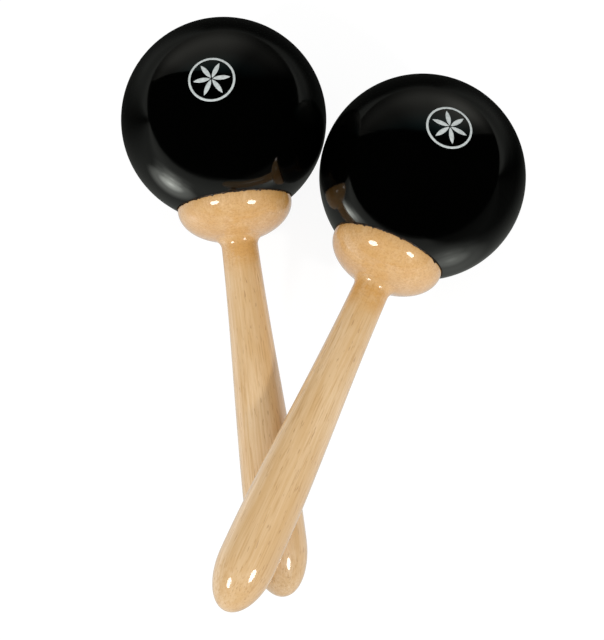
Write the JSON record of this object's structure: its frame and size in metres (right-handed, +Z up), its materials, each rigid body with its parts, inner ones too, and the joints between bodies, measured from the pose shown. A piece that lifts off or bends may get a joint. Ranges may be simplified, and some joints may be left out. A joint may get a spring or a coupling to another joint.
{
  "type": "pair of maracas",
  "caption": "Pair of rattles with hollow glossy balls full of loose shot, cupped on turned wooden handles, one lying across the other.",
  "frame": {"origin": "on the table, under the middle of the pair's bounding box", "axes": "+Y towards the balls, away from the free ends of the handles; +X towards the right maraca's ball; +Z up from the table"},
  "size_m": [0.2004, 0.301, 0.1021],
  "materials": {
    "black_shell": "polished, near black",
    "lacquered_wood": "pale hardwood under thick clear gloss lacquer",
    "plain_wood": "unfinished hardwood dowel",
    "steel_shot": "small polished steel balls",
    "white_print": "thin white ink"
  },
  "bodies": {
    "left_maraca": {"left_shell_crown": "black_shell", "left_shell_base": "black_shell", "left_handle": "lacquered_wood", "left_dowel": "plain_wood", "left_emblem": "white_print"},
    "left_outer_shot": {"left_outer_shot": "steel_shot"},
    "left_inner_shot": {"left_inner_shot": "steel_shot"},
    "right_maraca": {"right_shell_crown": "black_shell", "right_shell_base": "black_shell", "right_handle": "lacquered_wood", "right_dowel": "plain_wood", "right_emblem": "white_print"},
    "right_outer_shot": {"right_outer_shot": "steel_shot"},
    "right_inner_shot": {"right_inner_shot": "steel_shot"}
  },
  "joints": [
    {"name": "right_lift", "type": "slide", "parent": "left_maraca", "child": "right_maraca", "axis": [0, 0, 1], "range_m": [0, 0.12]},
    {"name": "left_outer_shot_roll", "type": "hinge", "parent": "left_maraca", "child": "left_outer_shot", "pos_m": [-0.04917, 0.09952, 0.051], "axis": [-0.9917, -0.1288, 0], "continuous": true},
    {"name": "left_inner_shot_roll", "type": "hinge", "parent": "left_maraca", "child": "left_inner_shot", "pos_m": [-0.04917, 0.09952, 0.051], "axis": [0.1288, -0.9917, 0], "continuous": true},
    {"name": "right_outer_shot_roll", "type": "hinge", "parent": "right_maraca", "child": "right_outer_shot", "pos_m": [0.04917, 0.06889, 0.051], "axis": [-0.9157, 0.402, 0], "continuous": true},
    {"name": "right_inner_shot_roll", "type": "hinge", "parent": "right_maraca", "child": "right_inner_shot", "pos_m": [0.04917, 0.06889, 0.051], "axis": [-0.402, -0.9157, 0], "continuous": true}
  ]
}
